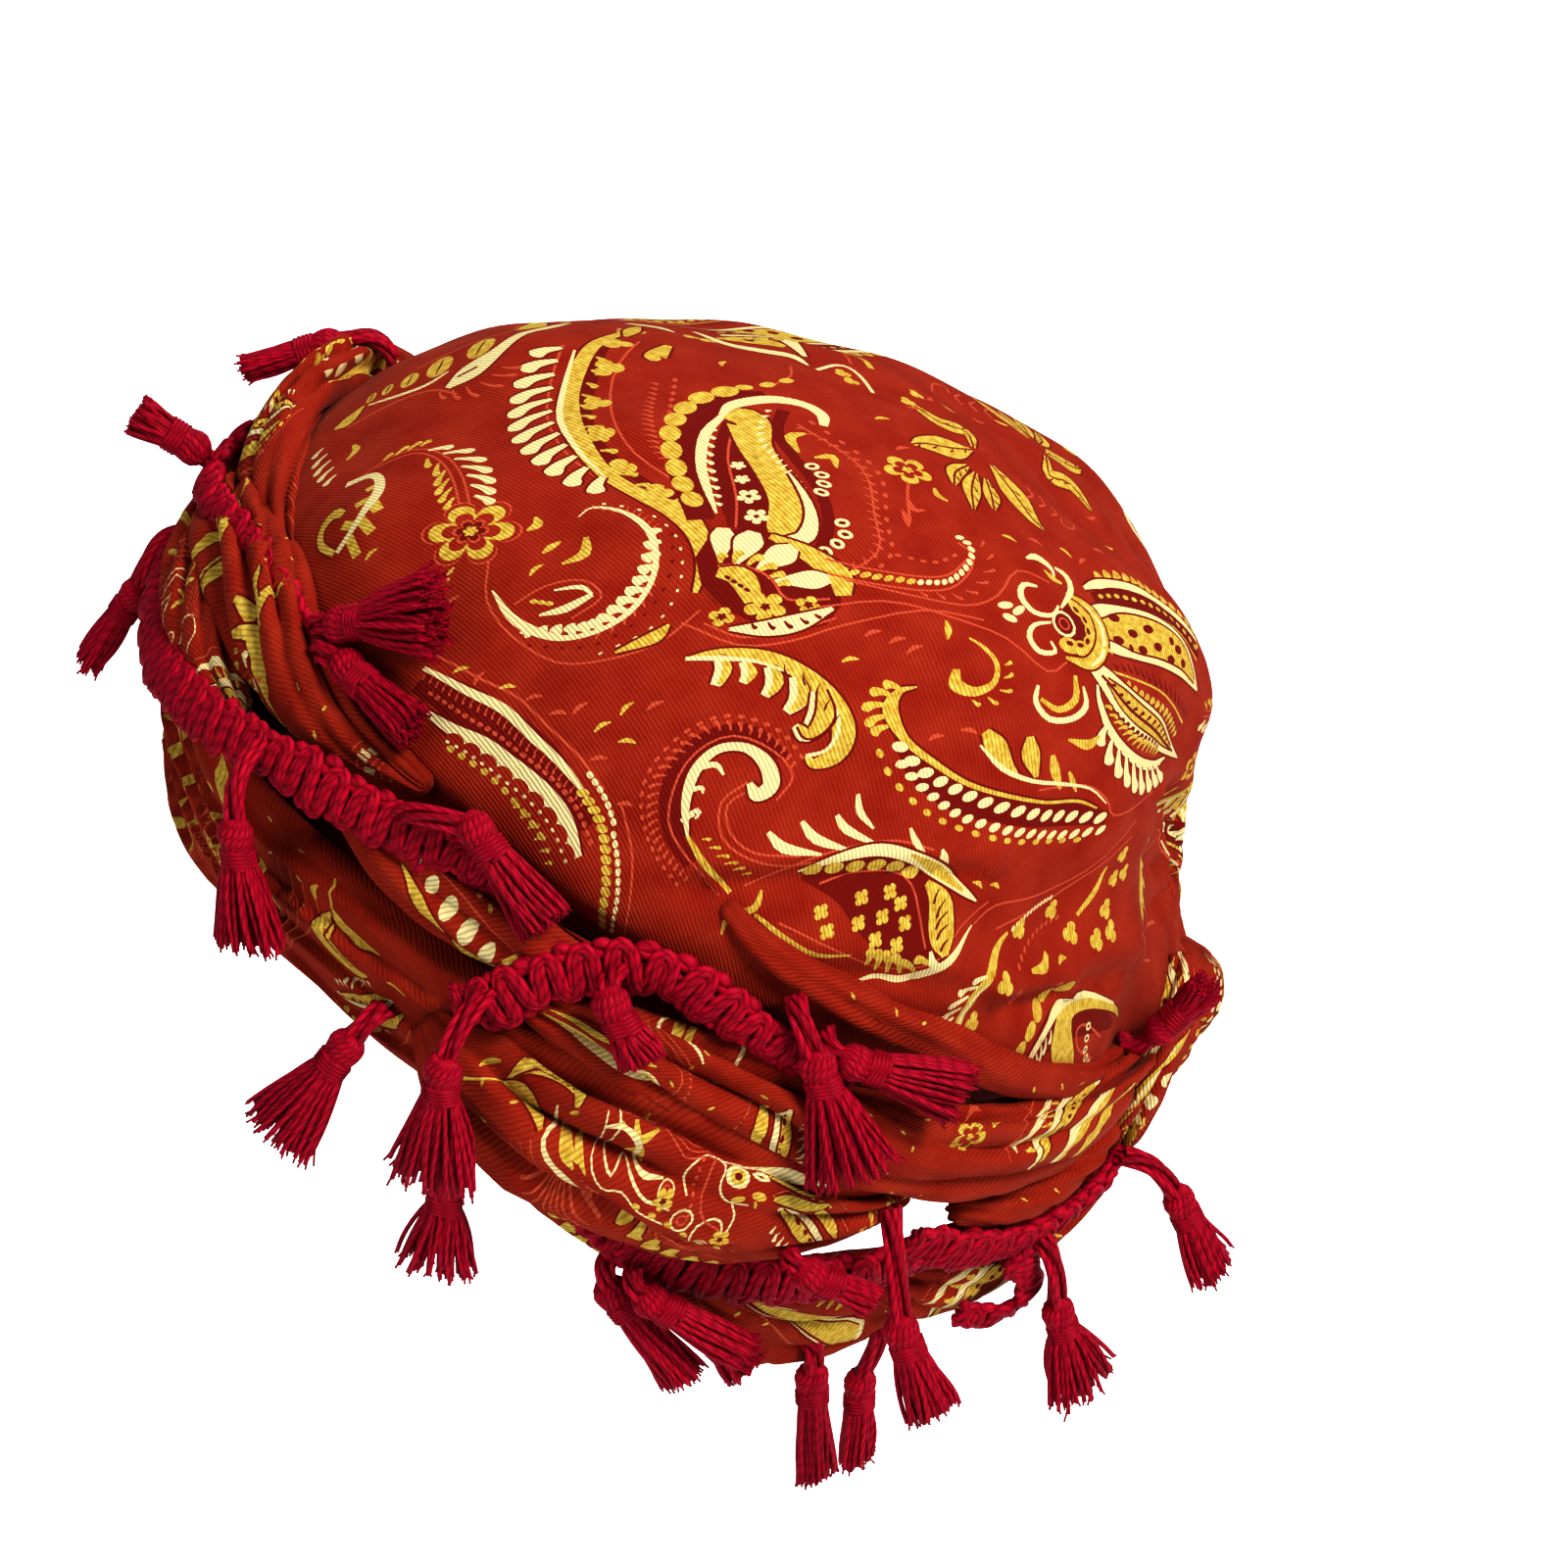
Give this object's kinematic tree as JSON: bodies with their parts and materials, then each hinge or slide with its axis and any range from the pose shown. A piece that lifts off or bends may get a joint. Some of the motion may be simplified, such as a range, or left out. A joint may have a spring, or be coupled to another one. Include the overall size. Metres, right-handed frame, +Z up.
{
  "type": "turban hat",
  "caption": "Worn turban hat: a puffed cap of paisley-printed red twill over a satin lining, wound with cloth wraps and a plait of twisted cloth and tasselled gimp.",
  "frame": {"origin": "on the axis of the hat, in the middle of the opening that the head goes into, near the height of the rim of the cap at its front", "axes": "+Z straight up as the hat is worn, -Y to the front of the head, +X to the wearer's left; the hat's own axis leans back from +Z by 31 degrees"},
  "size_m": [0.2474, 0.2656, 0.2503],
  "materials": {
    "printed_twill": "matt brick-red cotton twill with a printed paisley of gold, cream and dark red, a fine diagonal rib and a low sheen",
    "satin": "crimson-pink satin, shiny along its gathers",
    "gimp_yarn": "deep crimson crocheted braid of round glossy yarn",
    "tassel_yarn": "deep crimson yarn tassels, soft sheen, slightly frayed"
  },
  "bodies": {
    "root": {"crown_cap": "printed_twill", "satin_lining": "satin", "tassel_01": "tassel_yarn", "tassel_02": "tassel_yarn", "tassel_03": "tassel_yarn", "tassel_04": "tassel_yarn", "tassel_05": "tassel_yarn", "tassel_06": "tassel_yarn", "tassel_07": "tassel_yarn", "tassel_08": "tassel_yarn", "tassel_09": "tassel_yarn", "tassel_10": "tassel_yarn", "tassel_11": "tassel_yarn", "tassel_12": "tassel_yarn", "tassel_13": "tassel_yarn", "tassel_14": "tassel_yarn", "tassel_15": "tassel_yarn", "tassel_16": "tassel_yarn", "tassel_17": "tassel_yarn", "tassel_18": "tassel_yarn", "tassel_19": "tassel_yarn", "tassel_20": "tassel_yarn", "tassel_21": "tassel_yarn", "tassel_22": "tassel_yarn", "tassel_23": "tassel_yarn", "tassel_24": "tassel_yarn", "tassel_25": "tassel_yarn", "tassel_26": "tassel_yarn", "tassel_27": "tassel_yarn", "tassel_28": "tassel_yarn", "tassel_29": "tassel_yarn", "tassel_30": "tassel_yarn", "tassel_31": "tassel_yarn", "gimp_1": "gimp_yarn", "gimp_2": "gimp_yarn", "gimp_3": "gimp_yarn", "gimp_4": "gimp_yarn", "gimp_5": "gimp_yarn", "gimp_loop": "gimp_yarn", "far_gimp": "gimp_yarn", "side_knot": "printed_twill", "tail_knot": "printed_twill", "side_roll": "printed_twill", "hem_strip": "printed_twill", "twist_front": "printed_twill", "twist_middle": "printed_twill", "rim_roll": "printed_twill", "gather_fold": "printed_twill", "lower_roll": "printed_twill", "lower_twist": "printed_twill", "nape_roll": "printed_twill", "nape_cord": "printed_twill", "knot_wrap": "printed_twill", "plait_strand_a": "printed_twill", "plait_strand_b": "printed_twill", "front_wrap": "printed_twill"}
  },
  "joints": []
}
